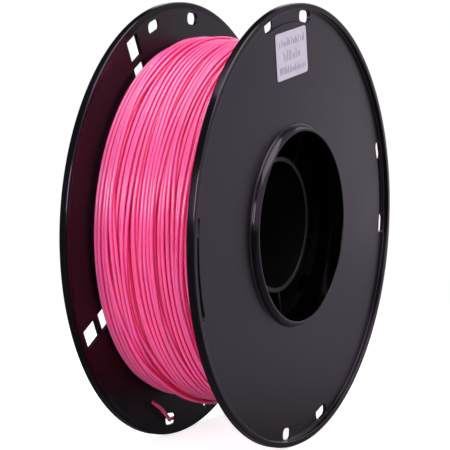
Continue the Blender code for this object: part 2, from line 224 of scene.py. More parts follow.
# The bed under the turns that are laid one by one: a plain body with a ridge for each turn
RIDGE_ANGLES = (40, 65, 90, 115, 140)  # the part of a strand's round side that shows, in degrees
BED_CLEARANCE = 0.1 * MM  # between the barrel and the bed
BED_DROP = STRAND * 0.45  # how far its ridges lie below the lowest turns
BED_FRONT_DROP = STRAND * 0.35  # the same at its front edge
BED_REAR_DROP = STRAND * 0.9
BED_COLUMN_PITCH = STRAND * 1.15
BED_ROW_PITCH = STRAND * 0.95

# The route of the free end over the rear flange, past the lower pair of holes. Each point has the hole it is
# counted from (-1 the first, 1 the second, 0 the middle between them), its angle past that in degrees, its
# place between the winding (0) and the circle of the holes (1), and its depth in mm.
TAIL_ROUTE = (
    (-1, -39.5, 0.0, 11.5),
    (-1, -31.5, 0.015, 9.8),
    (-1, -22.5, 0.17, 8.2),
    (-1, -13.5, 0.52, 7.0),
    (-1, -6.0, 0.86, 6.3),
    (-1, -2.0, 0.97, 5.3),
    (-1, 0.0, 1.0, 3.5),
    (-1, 2.1, 1.02, 1.8),
    (-1, 5.5, 1.03, 1.6),
    (0, 0.0, 1.04, 1.65),
    (1, -5.5, 1.05, 1.6),
    (1, -2.1, 1.06, 1.8),
    (1, 0.0, 1.06, 3.4),
    (1, 2.0, 1.0, 5.1),
    (1, 4.1, 0.84, 5.8),
    (1, 6.5, 0.6, 5.95),
    (1, 9.5, 0.37, 5.85),
    (1, 13.8, 0.2, 5.7),
)


# ---------------------------------------------------------------- shapes


def new_object(name, mesh):
    obj = bpy.data.objects.new(name, mesh)
    bpy.context.scene.collection.objects.link(obj)
    return obj


def around(angle, radius, y):
    """The point at that angle round the axis, distance from it and place along it."""
    return Vector((radius * math.sin(angle), y, radius * math.cos(angle)))


def arc(centre, radius, start, end, steps):
    """Points of an arc in a profile. Angles are in degrees."""
    points = []
    for i in range(steps + 1):
        angle = math.radians(start + (end - start) * i / steps)
        points.append((centre[0] + radius * math.cos(angle), centre[1] + radius * math.sin(angle)))
    return points


def object_of(name, shape):
    """An object with the shape of that bmesh, which is freed."""
    mesh = bpy.data.meshes.new(name)
    shape.to_mesh(mesh)
    shape.free()
    return new_object(name, mesh)


def turned(name, profile, steps):
    """A closed profile of (distance from the axis, y) points, turned once round Y."""
    shape = bmesh.new()
    rings = []
    for i in range(steps):
        angle = 2 * math.pi * i / steps
        rings.append([shape.verts.new(around(angle, radius, y)) for radius, y in profile])
    count = len(profile)
    for here, there in zip(rings, rings[1:] + rings[:1]):
        for j in range(count):
            k = (j + 1) % count
            shape.faces.new((here[j], there[j], there[k], here[k]))
    bmesh.ops.recalc_face_normals(shape, faces=shape.faces)
    return object_of(name, shape)


def lofted(name, sections):
    """A closed skin over outlines that have as many points each, with both ends filled."""
    shape = bmesh.new()
    rings = [[shape.verts.new(point) for point in section] for section in sections]
    count = len(rings[0])
    for here, there in zip(rings, rings[1:]):
        for j in range(count):
            k = (j + 1) % count
            shape.faces.new((here[j], here[k], there[k], there[j]))
    shape.faces.new(rings[0][::-1])
    shape.faces.new(rings[-1])
    bmesh.ops.recalc_face_normals(shape, faces=shape.faces)
    return object_of(name, shape)


def rounded_outline(width, height, corner, steps=6):
    """A rectangle with round corners about the origin."""
    across = width / 2 - corner
    along = height / 2 - corner
    centres = ((across, along), (-across, along), (-across, -along), (across, -along))
    outline = []
    for i, centre in enumerate(centres):
        outline += arc(centre, corner, 90 * i, 90 * i + 90, steps)
    return outline


def quarter_round(size):
    """A rounded edge between a face and a wall: (distance from the wall, distance below the face) points."""
    points = []
    for i in range(QUARTER_STEPS + 1):
        bend = math.radians(90 * i / QUARTER_STEPS)
        points.append((size * (1 - math.sin(bend)), size * (1 - math.cos(bend))))
    return points


def joined(name, objects):
    """Joins separate bodies into one object, for use as a cutter."""
    shape = bmesh.new()
    for obj in objects:
        shape.from_mesh(obj.data)
        bpy.data.objects.remove(obj)
    return object_of(name, shape)


def combine(obj, tool, operation):
    """Applies one exact Boolean and removes its tool."""
    modifier = obj.modifiers.new(tool.name, "BOOLEAN")
    modifier.operation = operation
    modifier.solver = "EXACT"
    modifier.object = tool
    graph = bpy.context.evaluated_depsgraph_get()
    mesh = bpy.data.meshes.new_from_object(obj.evaluated_get(graph))
    obj.modifiers.clear()
    old = obj.data
    obj.data = mesh
    bpy.data.meshes.remove(old)
    bpy.data.objects.remove(tool)


def smooth(obj):
    """Smooth shading with sharp edges kept, and flat faces kept flat beside their rounded edges."""
    obj.data.shade_smooth()
    obj.data.set_sharp_from_angle(angle=SHARP_ANGLE)
    normals = obj.modifiers.new("normals", "WEIGHTED_NORMAL")
    normals.mode = "FACE_AREA"
    normals.weight = 100
    normals.keep_sharp = True


def mirrored(profile, side):
    """(distance from the axis, depth) points as (distance, y) points of one side of the spool."""
    return [(radius, side * (HALF_WIDTH - depth)) for radius, depth in profile]


# ---------------------------------------------------------------- flanges


def flange_profile():
    """Rim, web, collar, spigot and hooks, as (distance from the axis, depth) points."""
    rim_rounding = 0.8 * MM
    rim_wall_rounding = 0.4 * MM
    fillet = 0.35 * MM  # between the rim's wall and the web
    lip_rounding = 0.35 * MM
    spigot_chamfer = 0.3 * MM
    rim_edge = FLANGE_RADIUS - rim_rounding
    lip_centre_depth = lip_rounding - COLLAR_RISE
    points = arc((rim_edge, rim_rounding), rim_rounding, -90, 0, 8)
    points += arc((rim_edge, RIM_THICKNESS - rim_rounding), rim_rounding, 0, 90, 8)
    points += [
        (SPIGOT_RADIUS + spigot_chamfer, RIM_THICKNESS),
        (SPIGOT_RADIUS, RIM_THICKNESS + spigot_chamfer),
        (SPIGOT_RADIUS, HOOK_DEPTH - BARB_LENGTH),
        (SPIGOT_RADIUS + BARB_HEIGHT, HOOK_DEPTH - BARB_LENGTH),
        (SPIGOT_RADIUS + BARB_HEIGHT / 2, HOOK_DEPTH),
        (MOUTH_RADIUS, HOOK_DEPTH),
    ]
    points += arc((MOUTH_RADIUS + lip_rounding, lip_centre_depth), lip_rounding, 180, 270, 5)
    points += arc((MOUTH_RADIUS + LIP_WIDTH - lip_rounding, lip_centre_depth), lip_rounding, 270, 312, 4)
    foot = collar_foot()
    points += collar_wall(points[-1], foot[0])
    points += foot
    points += arc((RIM_WALL_RADIUS - fillet, WEB_DEPTH - fillet), fillet, 90, 0, 4)
    points += arc((RIM_WALL_RADIUS + rim_wall_rounding, rim_wall_rounding), rim_wall_rounding, 180, 270, 5)
    return points


def collar_wall(top, bottom):
    """Points between the collar's lip and its foot: steep at the foot and rounded towards the lip."""
    lean = 0.1  # how far the wall leans inwards at its foot, beside its height
    height = bottom[1] - top[1]
    bulge = (bottom[0] - top[0] - lean * height) / height**2
    points = []
    for i in range(COLLAR_STEPS - 1, 0, -1):
        up = height * i / COLLAR_STEPS
        points.append((bottom[0] - lean * up - bulge * up**2, bottom[1] - up))
    return points


def collar_foot():
    """The hollow curve from the collar's outer wall into the web."""
    hollow = 0.9 * MM
    inset = 0.25 * MM  # how far inside the foot's nominal radius the curve starts
    start = COLLAR_FOOT_RADIUS - inset
    return [(start + along, WEB_DEPTH - up) for up, along in quarter_round(hollow)]


def spread(start, count):
    """Equal steps round the axis, from the start angle."""
    return [start + 2 * math.pi * i / count for i in range(count)]


def hole_half_angle(circle):
    """Half the angle between the two holes of a pair on that circle."""
    return math.asin(HOLE_SPACING / 2 / circle)


def flared_sections(outline_of, side, angle, distance, rounding):
    """Sections of a through cutter that flares at both faces of the web, so that it leaves rounded edges."""
    spread_out = rounding * FLARE_SPREAD
    edge = quarter_round(rounding)[1:]
    levels = [(spread_out, WEB_DEPTH - FLARE_LENGTH)]
    levels += [(grow, WEB_DEPTH + below) for grow, below in edge]
    levels += [(grow, RIM_THICKNESS - below) for grow, below in reversed(edge)]
    levels.append((spread_out, RIM_THICKNESS + FLARE_LENGTH))
    turn = Matrix.Rotation(angle, 4, "Y")
    sections = []
    for grow, depth in levels:
        y = side * (HALF_WIDTH - depth)
        sections.append([turn @ Vector((x, y, z + distance)) for x, z in outline_of(grow)])
    return sections


def hole_outline(grow):
    return rounded_outline(HOLE_LENGTH + 2 * grow, HOLE_HEIGHT + 2 * grow, HOLE_CORNER + grow)


def window_outline(grow):
    return rounded_outline(WINDOW_WIDTH + 2 * grow, WINDOW_LENGTH + 2 * grow, WINDOW_CORNER + grow, 4)


def hole_cutters(name, side, middles, circle):
    half = hole_half_angle(circle)
    made = []
    for middle in middles:
        for offset in (-half, half):
            sections = flared_sections(hole_outline, side, middle + offset, circle, HOLE_ROUNDING)
            made.append(lofted("hole", sections))
    return joined(f"{name}_holes", made)


def window_cutters(name, side, middles):
    outer = RIM_WALL_RADIUS - WINDOW_EDGE - WINDOW_LENGTH / 2
    made = []
    for middle in middles:
        for distance in (outer, outer - WINDOW_LENGTH - WINDOW_BAR):
            sections = flared_sections(window_outline, side, middle, distance, WINDOW_ROUNDING)
            made.append(lofted("window", sections))
    return joined(f"{name}_windows", made)


def groove_section(circle):
    """Flat-bottomed groove with rounded shoulders, as (distance from the axis, depth) points."""
    shoulder = 0.3 * MM
    fillet = 0.4 * MM
    half = GROOVE_WIDTH / 2
    floor = WEB_DEPTH + GROOVE_DEPTH
    edge = [(shoulder * FLARE_SPREAD, WEB_DEPTH - FLARE_LENGTH)]
    edge += [(grow, WEB_DEPTH + below) for grow, below in quarter_round(shoulder)[1:]]
    points = [(circle - half - grow, depth) for grow, depth in edge]
    points += arc((circle - half + fillet, floor - fillet), fillet, 180, 90, 4)
    points += arc((circle + half - fillet, floor - fillet), fillet, 90, 0, 4)
    points += [(circle + half + grow, depth) for grow, depth in reversed(edge)]
    return points


def swept(name, section, middle, half, steps):
    """A piece of a ring: a section of (distance, y) points, half an angle to each side of its middle."""
    angles = [middle + half * (2 * i / steps - 1) for i in range(steps + 1)]
    return lofted(name, [[around(angle, radius, y) for radius, y in section] for angle in angles])


def groove_cutters(name, side, middles, circle):
    section = mirrored(groove_section(circle), side)
    half = hole_half_angle(circle)
    made = [swept("groove", section, middle, half, GROOVE_STEPS) for middle in middles]
    return joined(f"{name}_grooves", made)


def ring_cutters(name, side, middles, half, distances, depths):
    """Pieces of a ring between those distances from the axis and those depths."""
    inner, outer = distances
    shallow, deep = depths
    section = mirrored(((inner, shallow), (outer, shallow), (outer, deep), (inner, deep)), side)
    return joined(name, [swept("ring_piece", section, middle, half, RING_PIECE_STEPS) for middle in middles])


def hook_gap_cutters(name, side):
    """Wedges that leave only the hooks of the spigot's end."""
    half_gap = math.pi / HOOK_COUNT - math.asin(HOOK_WIDTH / 2 / SPIGOT_RADIUS)
    middles = spread(HOOK_ANGLE + math.pi / HOOK_COUNT, HOOK_COUNT)
    distances = (MOUTH_RADIUS - CUTTER_REACH, SPIGOT_RADIUS + BARB_HEIGHT + CUTTER_REACH)
    depths = (SPIGOT_DEPTH, HOOK_DEPTH + CUTTER_REACH)
    return ring_cutters(f"{name}_hook_gaps", side, middles, half_gap, distances, depths)


def make_flange(name, side, middles, circle):
    flange = turned(f"{name}_flange_moulding", mirrored(flange_profile(), side), ROUND_STEPS)
    combine(flange, hook_gap_cutters(name, side), "DIFFERENCE")
    combine(flange, groove_cutters(name, side, middles, circle), "DIFFERENCE")
    combine(flange, hole_cutters(name, side, middles, circle), "DIFFERENCE")
    return flange


def make_front_flange(material):
    middles = spread(FRONT_ANGLE, FRONT_PAIR_COUNT)
    flange = make_flange("front", FRONT, middles, FRONT_HOLE_CIRCLE)
    finish_piece(flange, material, "front_flange")


def make_rear_flange(material, inside):
    """Its face towards the winding has a material of its own: a rougher finish, with painted shade in its
    darker colour and weaker gloss.
    """
    middles = spread(REAR_ANGLE, REAR_PAIR_COUNT)
    flange = make_flange("rear", REAR, middles, REAR_HOLE_CIRCLE)
    window_middles = spread(REAR_ANGLE + WINDOW_ANGLE, WINDOW_PAIR_COUNT)
    combine(flange, window_cutters("rear", REAR, window_middles), "DIFFERENCE")
    finish_piece(flange, material, "rear_flange")
    flange.data.materials.append(inside)
    towards_winding = 0.5  # the least share of a face's normal that points at the winding
    for face in flange.data.polygons:
        if -face.normal.y > towards_winding:
            face.material_index = 1


# ---------------------------------------------------------------- core


def core_profile():
    """Barrel, web and axle tube, as (distance from the axis, y) points."""
    edge = 0.3 * MM
    half_web = 1.0 * MM
    fillet = 0.8 * MM
    half = arc((BARREL_RADIUS - edge, BARREL_END - edge), edge, 0, 90, 3)
    half += [
        (BARREL_INNER_RADIUS, BARREL_END),
        *arc((BARREL_INNER_RADIUS - fillet, half_web + fillet), fillet, 0, -90, 4),
        *arc((AXLE_TUBE_RADIUS + fillet, half_web + fillet), fillet, -90, -180, 4),
        *arc((AXLE_TUBE_RADIUS - edge, AXLE_TUBE_END - edge), edge, 0, 90, 4),
        *arc((BORE_RADIUS + edge, AXLE_TUBE_END - edge), edge, 90, 180, 4),
    ]
    return half + [(radius, -y) for radius, y in reversed(half)]


def make_ribs():
    """Ribs between the axle tube and the barrel, halfway between the hooks."""
    overlap = 0.6 * MM  # how far a rib goes into the walls that it joins
    rounding = 0.4 * MM
    outline = rounded_outline(RIB_THICKNESS, 2 * RIB_END, rounding, 3)
    ribs = []
    for angle in spread(HOOK_ANGLE + math.pi / RIB_COUNT, RIB_COUNT):
        turn = Matrix.Rotation(angle, 4, "Y")
        sections = []
        for distance in (AXLE_TUBE_RADIUS - overlap, BARREL_INNER_RADIUS + overlap):
            sections.append([turn @ Vector((x, y, distance)) for x, y in outline])
        ribs.append(lofted("rib", sections))
    return joined("ribs", ribs)


def make_core(material):
    core = turned("core_moulding", core_profile(), ROUND_STEPS // 2)
    combine(core, make_ribs(), "UNION")
    half = math.asin(HOOK_WIDTH / 2 / SPIGOT_RADIUS) + FIT_GAP / SPIGOT_RADIUS
    distances = (BARREL_INNER_RADIUS - CUTTER_REACH, BARREL_RADIUS + CUTTER_REACH)
    depths = (HOOK_DEPTH - BARB_LENGTH - FIT_GAP, HOOK_DEPTH + FIT_GAP)
    middles = spread(HOOK_ANGLE, HOOK_COUNT)
    for name, side in (("front", FRONT), ("rear", REAR)):
        catches = ring_cutters(f"{name}_catches", side, middles, half, distances, depths)
        combine(core, catches, "DIFFERENCE")
    finish_piece(core, material, "core")


# ---------------------------------------------------------------- filament


def bed_height(y):
    """How far from the axis the lowest turns laid one by one may lie: higher in a hump, lower at the rear."""
    fall = np.clip((y - HUMP_END) / (WINDING_END - HUMP_END), 0, 1)
    rise = 0.5 - 0.5 * np.cos(np.pi * np.clip((y - HUMP_START) / HUMP_RISE, 0, 1))
    return BED_RADIUS + HUMP_HEIGHT * rise - REAR_FALL * fall**REAR_FALL_POWER


def rest_height(y, laid_y, laid_r):
    """How far from the axis a strand's middle lies when it rests on the turns already laid."""
    height = bed_height(y)
    if len(laid_y):
        apart = np.abs(laid_y - y)
        lift = np.sqrt(np.clip(STRAND**2 - apart**2, 0, None))
        resting = np.where(apart < STRAND, laid_r + lift, 0.0)
        height = np.maximum(height, resting.max(axis=0))
    return height


def blurred(values, width):
    """Weighted mean over the neighbours along the strand."""
    reach = int(3 * width)
    weights = np.exp(-0.5 * (np.arange(-reach, reach + 1) / width) ** 2)
    padded = np.pad(values, reach, mode="edge")
    return np.convolve(padded, weights / weights.sum(), mode="valid")


def lay_turn(guide, before_y, before_r, laid_y, laid_r):
    """One turn: it rolls towards the nearest hollow, as far as its stiffness and the guide let it."""
    y = guide.copy()
    for _ in range(ROLL_PASSES):
        slope = rest_height(y + ROLL_PROBE, laid_y, laid_r) - rest_height(y - ROLL_PROBE, laid_y, laid_r)
        drift = y - ROLL_SHARE * slope - guide
        if len(before_y):
            drift = np.concatenate([before_y, drift])
        drift = blurred(drift, ROLL_STIFFNESS)[-len(guide):] * GUIDE_HOLD
        y = np.clip(guide + drift, -STRAND_END, STRAND_END)
    height = rest_height(y, laid_y, laid_r)
    r = height.copy()
    for _ in range(LIFT_PASSES):
        series = np.concatenate([before_r, r]) if len(before_r) else r
        r = np.maximum(height, blurred(series, LIFT_STIFFNESS)[-len(guide):])
    return y, r, (y - guide)[-CARRIED_STEPS:], r[-CARRIED_STEPS:]


def eased(share):
    """0 to 1 with a gentle start and end."""
    return share * share * (3 - 2 * share)


def wavering(chance, count, spacing, size):
    """A smooth random line of that many samples, with a free value at every so many."""
    knots = np.array([chance.uniform(-size, size) for _ in range(count // spacing + 2)])
    place = np.arange(count) / spacing
    before = place.astype(int)
    ease = eased(place - before)
    return knots[before] * (1 - ease) + knots[before + 1] * ease


def bell(apart, reach):
    return np.exp(-0.5 * (apart / reach) ** 2)


def degrees_from(middle, degrees):
    """How far round the axis those angles are from the middle, the short way."""
    return np.remainder(degrees - middle + 180, 360) - 180


def guide_line(end_angle):
    """Where the winder leads the strand: (y, angle) for each step of the turns that are laid one by one."""
    chance = random.Random(WINDING_SEED)
    runs = []
    for start, end, pitch in WINDING_PASSES:
        count = max(1, round(abs(end - start) / pitch)) * TURN_STEPS
        runs.append(start + (end - start) * (np.arange(count) + 1) / count)
    path = np.concatenate(runs)
    outer = np.arange(len(path)) >= len(runs[0]) + len(runs[1])
    angle = end_angle - 2 * math.pi / TURN_STEPS * np.arange(len(path) - 1, -1, -1)
    degrees = np.degrees(angle)
    y = path.copy()
    for spacing, size in WAVERS:
        y += wavering(chance, len(path), spacing, size)
    for near, along, middle, reach, shift in WANDERINGS:
        there = bell(path - near * MM, along * MM) * bell(degrees_from(middle, degrees), reach)
        y += outer * shift * MM * there
    for near, middle, reach, width in PARTINGS:
        aside = path - near * MM
        there = bell(aside, PARTING_REACH) * bell(degrees_from(middle, degrees), reach)
        y += outer * width / 2 * MM * np.tanh(aside / PARTING_EDGE) * there
    return y, angle


def wind(end_angle):
    """Lays the turns one by one. Returns y, distance from the axis and angle of the strand for each step."""
    guide, angle = guide_line(end_angle)
    laid_y = np.zeros((0, TURN_STEPS))
    laid_r = np.zeros((0, TURN_STEPS))
    before_y = np.zeros(0)
    before_r = np.zeros(0)
    for start in range(0, len(guide), TURN_STEPS):
        turn = guide[start:start + TURN_STEPS]
        y, r, before_y, before_r = lay_turn(turn, before_y, before_r, laid_y, laid_r)
        laid_y = np.vstack([laid_y, y])
        laid_r = np.vstack([laid_r, r])
    return laid_y.ravel(), laid_r.ravel(), angle


def curve_through(knots, steps):
    """A smooth curve through the knots."""
    ends = [2 * knots[0] - knots[1], *knots, 2 * knots[-1] - knots[-2]]
    points = []
    for a, b, c, d in zip(ends, ends[1:], ends[2:], ends[3:]):
        for i in range(steps):
            t = i / steps
            blend = 2 * b + (c - a) * t
            blend += (2 * a - 5 * b + 4 * c - d) * t * t
            blend += (3 * b - 3 * c + d - a) * t * t * t
            points.append(blend / 2)
    points.append(knots[-1])
    return points


def tube(name, points, radius, sides):
    """A tube round a line of points, with its cross-sections carried along without twist."""
    line = np.array([tuple(point) for point in points])
    along = np.gradient(line, axis=0)
    along /= np.linalg.norm(along, axis=1)[:, None]
    normal = np.empty_like(line)
    outward = line[0] * (1.0, 0.0, 1.0)
    normal[0] = outward - along[0] * (outward @ along[0])
    normal[0] /= np.linalg.norm(normal[0])
    for i in range(1, len(line)):
        carried = normal[i - 1] - along[i] * (normal[i - 1] @ along[i])
        normal[i] = carried / np.linalg.norm(carried)
    side = np.cross(along, normal)
    angles = (2 * np.pi * np.arange(sides) / sides)[None, :, None]
    ring = np.cos(angles) * normal[:, None, :] + np.sin(angles) * side[:, None, :]
    verts = line[:, None, :] + radius * ring
    index = np.arange(len(line) * sides).reshape(len(line), sides)
    beside = np.roll(index, -1, axis=1)
    faces = np.stack([index[:-1], beside[:-1], beside[1:], index[1:]], axis=-1).reshape(-1, 4).tolist()
    faces.append(index[0][::-1].tolist())
    faces.append(index[-1].tolist())
    mesh = bpy.data.meshes.new(name)
    mesh.from_pydata(verts.reshape(-1, 3).tolist(), [], faces)
    mesh.validate()
    return new_object(name, mesh)


def tail_knots():
    """The free end's route, as (angle, distance from the axis, y) points."""
    middle = REAR_ANGLE + math.pi
    lowest = WINDING_RADIUS + FIT_GAP + STRAND / 2
    knots = []
    for hole, degrees, share, depth in TAIL_ROUTE:
        angle = middle + hole * hole_half_angle(REAR_HOLE_CIRCLE) + math.radians(degrees)
        distance = lowest + share * (REAR_HOLE_CIRCLE - lowest)
        knots.append((angle, distance, HALF_WIDTH - depth * MM))
    return knots


def make_filament(material):
    """The turns that are laid one by one, the last of them led over to the free end, and the free end."""
    knots = tail_knots()
    end_angle, end_distance, end_y = knots[0]
    y, r, angle = wind(end_angle)
    ease = eased(np.linspace(0, 1, LEAD_STEPS))
    lift = np.full(len(y), WINDING_LIFT)
    lift[-LEAD_STEPS:] *= 1 - ease
    y[-LEAD_STEPS:] += (end_y - y[-1]) * ease
    r[-LEAD_STEPS:] += (end_distance - r[-1]) * ease
    points = np.stack([r * np.sin(angle), y, r * np.cos(angle) + lift], axis=1)
    turns = tube("filament_turns", points, STRAND / 2, STRAND_SIDES)
    turns.data.shade_smooth()
    finish_piece(turns, material, "filament_winding", shade=False)

    run_up = [Vector(points[-1 - 2 * i]) for i in (3, 2, 1)]
    route = run_up + [around(*knot) for knot in knots]
    end = tube("filament_end", curve_through(route, END_STEPS), STRAND / 2 * END_SWELLING, END_SIDES)
    finish_piece(end, material, "filament_tail")


def bed_profile():
    """The bed's top, rear side, bottom and front side, as (distance from the axis, y) points."""
    radius = STRAND / 2
    bends = [math.radians(degrees) for degrees in RIDGE_ANGLES]
    ridge = [(radius * math.cos(bend), radius * math.sin(bend)) for bend in bends]  # (back, out)
    end = WINDING_END - radius  # middle of the outermost ridges
    bottom = BARREL_RADIUS + BED_CLEARANCE + WINDING_LIFT
    front_top = float(bed_height(np.array(-WINDING_END))) - BED_FRONT_DROP
    rear_top = float(bed_height(np.array(WINDING_END))) - BED_REAR_DROP
    columns = int(2 * WINDING_END / BED_COLUMN_PITCH)
    top = []
    for i in range(columns):
        y = -end + 2 * end * i / (columns - 1)
        height = float(bed_height(np.array(y))) - BED_DROP
        top += [(height + out, y - back) for back, out in ridge]
    rows = int((front_top - bottom - STRAND) / BED_ROW_PITCH)
    rear_side = []
    front_side = []
    for i in range(rows):
        share = (i + 0.5) / rows
        rear = bottom + (rear_top - bottom) * share
        front = bottom + (front_top - radius - bottom) * share
        rear_side += [(rear - back, end + out) for back, out in ridge]
        front_side += [(front - back, -end - out) for back, out in ridge]
    return top + rear_side[::-1] + [(bottom, end), (bottom, -end)] + front_side


def make_bed(material):
    """A plain ridged body under the turns that are laid one by one."""
    bed = turned("filament_bed", bed_profile(), BED_ROUND_STEPS)
    bed.data.transform(Matrix.Translation((0, 0, WINDING_LIFT)))
    finish_piece(bed, material, "filament_winding")


# ---------------------------------------------------------------- label


# Rows of marks: (middle, height, count, pitch)
MARK_ROWS = (
    (5.9 * MM, 3.4 * MM, 11, 2.35 * MM),
    (-0.2 * MM, 4.4 * MM, 5, 3.5 * MM),
    (-6.4 * MM, 3.2 * MM, 11, 2.35 * MM),
)
MARK_SEED = 3
MARK_STROKES = ((-0.28, 0.28), (0.0,), (-0.3, 0.3), (-0.22, 0.22))  # places of a mark's strokes, in pitches
STROKE_SHARES = (1.0, 1.0, 0.62)  # of the row's height
STROKE_WIDTH = 0.36 * MM
INK_THICKNESS = 0.02 * MM
INK_RISE = 0.012 * MM  # from the paper to the middle of the ink


def make_label(paper, ink):
    edge = 0.06 * MM
    back = -(HALF_WIDTH - WEB_DEPTH) - LABEL_GLUE
    width, height = LABEL_SIZE
    place = Matrix.Rotation(LABEL_ANGLE, 4, "Y") @ Matrix.Translation((0, 0, LABEL_DISTANCE))
    place = place @ Matrix.Rotation(LABEL_TILT_ANGLE, 4, "Y")
    sections = []
    for inset, lift in ((edge, LABEL_THICKNESS), (0.0, LABEL_THICKNESS - edge), (0.0, 0.0)):
        outline = rounded_outline(width - 2 * inset, height - 2 * inset, LABEL_CORNER, 8)
        sections.append([place @ Vector((x, back - lift, z)) for x, z in outline])
    finish_piece(lofted("label_sheet", sections), paper, "label")
    finish_piece(make_marks(place, back - LABEL_THICKNESS), ink)


def make_marks(place, face):
    """Three rows of plain marks, each of one or two strokes."""
    chance = random.Random(MARK_SEED)
    shape = bmesh.new()
    for middle, height, count, pitch in MARK_ROWS:
        for i in range(count):
            x = (i - (count - 1) / 2) * pitch
            for offset in chance.choice(MARK_STROKES):
                tall = height * chance.choice(STROKE_SHARES)
                centre = (x + offset * pitch, face - INK_RISE, middle - (height - tall) / 2)
                scale = Matrix.Diagonal((STROKE_WIDTH, INK_THICKNESS, tall, 1.0))
                matrix = place @ Matrix.Translation(centre) @ scale
                bmesh.ops.create_cube(shape, size=1.0, matrix=matrix)
    return object_of("label_marks", shape)


# ---------------------------------------------------------------- materials


# Where the black plastic changes, as distances from the axis: its colour darkens as painted shade on the
# mouth's walls, and its finish changes at the collar and the rim
MOUTH_WALL = (MOUTH_RADIUS + 0.02 * MM, MOUTH_RADIUS + 0.2 * MM)
COLLAR_EDGE = (COLLAR_FOOT_RADIUS + 0.3 * MM, COLLAR_FOOT_RADIUS + 1.8 * MM)
RIM_EDGE = (RIM_WALL_RADIUS - 0.6 * MM, RIM_WALL_RADIUS)


def new_material(name, colour, roughness):
    """A material of one colour and roughness, which also stand for it where its nodes aren't read."""
    material = bpy.data.materials.new(name)
    material.use_nodes = True
    shader = material.node_tree.nodes["Principled BSDF"]
    shader.inputs["Base Color"].default_value = (*colour, 1.0)
    shader.inputs["Roughness"].default_value = roughness
    return material, material.node_tree, shader


def add_node(tree, kind, **settings):
    node = tree.nodes.new(kind)
    for key, value in settings.items():
        if hasattr(node, key):
            setattr(node, key, value)
        else:
            node.inputs[key].default_value = value
    return node


def noise(tree, scale, detail):
    """Noise over the object's own coordinates, in metres."""
    place = add_node(tree, "ShaderNodeTexCoord")
    texture = add_node(tree, "ShaderNodeTexNoise", Scale=scale, Detail=detail)
    tree.links.new(place.outputs["Object"], texture.inputs["Vector"])
    return texture.outputs["Fac"]


def maths(tree, operation, first, second):
    node = add_node(tree, "ShaderNodeMath", operation=operation)
    tree.links.new(first, node.inputs[0])
    tree.links.new(second, node.inputs[1])
    return node.outputs["Value"]


def ranged(tree, value, low, high, start=0.3, end=0.7):
    """The value that goes from low to high while the given one goes from start to end."""
    node = add_node(tree, "ShaderNodeMapRange")
    node.inputs["From Min"].default_value = start
    node.inputs["From Max"].default_value = end
    node.inputs["To Min"].default_value = low
    node.inputs["To Max"].default_value = high
    tree.links.new(value, node.inputs["Value"])
    return node.outputs["Result"]


def vector_length(tree, vector):
    node = add_node(tree, "ShaderNodeVectorMath", operation="LENGTH")
    tree.links.new(vector, node.inputs[0])
    return node.outputs["Value"]


def towards(tree, vector, direction):
    """How far a vector goes in that direction."""
    node = add_node(tree, "ShaderNodeVectorMath", operation="DOT_PRODUCT")
    node.inputs[1].default_value = Vector(direction).normalized()
    tree.links.new(vector, node.inputs[0])
    return node.outputs["Value"]


def from_axis(tree, place):
    """The way from the spool's axis to a point of the object, square to the axis."""
    node = add_node(tree, "ShaderNodeVectorMath", operation="MULTIPLY")
    node.inputs[1].default_value = (1.0, 0.0, 1.0)
    tree.links.new(place.outputs["Object"], node.inputs[0])
    return node.outputs["Vector"]


def facing_out(tree):
    """How much a surface faces away from the spool's axis: 1 straight away from it, 0 along it."""
    place = add_node(tree, "ShaderNodeTexCoord")
    outward = add_node(tree, "ShaderNodeVectorMath", operation="NORMALIZE")
    match = add_node(tree, "ShaderNodeVectorMath", operation="DOT_PRODUCT")
    tree.links.new(from_axis(tree, place), outward.inputs[0])
    tree.links.new(outward.outputs["Vector"], match.inputs[0])
    tree.links.new(place.outputs["Normal"], match.inputs[1])
    return match.outputs["Value"]


def mix_colours(tree, share, first, second):
    """The first colour where the share is 0 and the second where it is 1."""
    node = add_node(tree, "ShaderNodeMix", data_type="RGBA")
    node.inputs["A"].default_value = (*first, 1.0)
    node.inputs["B"].default_value = (*second, 1.0)
    tree.links.new(share, node.inputs["Factor"])
    return node.outputs["Result"]


def mix_shaders(tree, share, first, second):
    """The first shader where the share is 0 and the second where it is 1."""
    node = add_node(tree, "ShaderNodeMixShader")
    tree.links.new(share, node.inputs["Fac"])
    tree.links.new(first.outputs[0], node.inputs[1])
    tree.links.new(second.outputs[0], node.inputs[2])
    return node


def bump(tree, shader, value, distance, strength):
    node = add_node(tree, "ShaderNodeBump")
    node.inputs["Distance"].default_value = distance
    node.inputs["Strength"].default_value = strength
    tree.links.new(value, node.inputs["Height"])
    tree.links.new(node.outputs["Normal"], shader.inputs["Normal"])


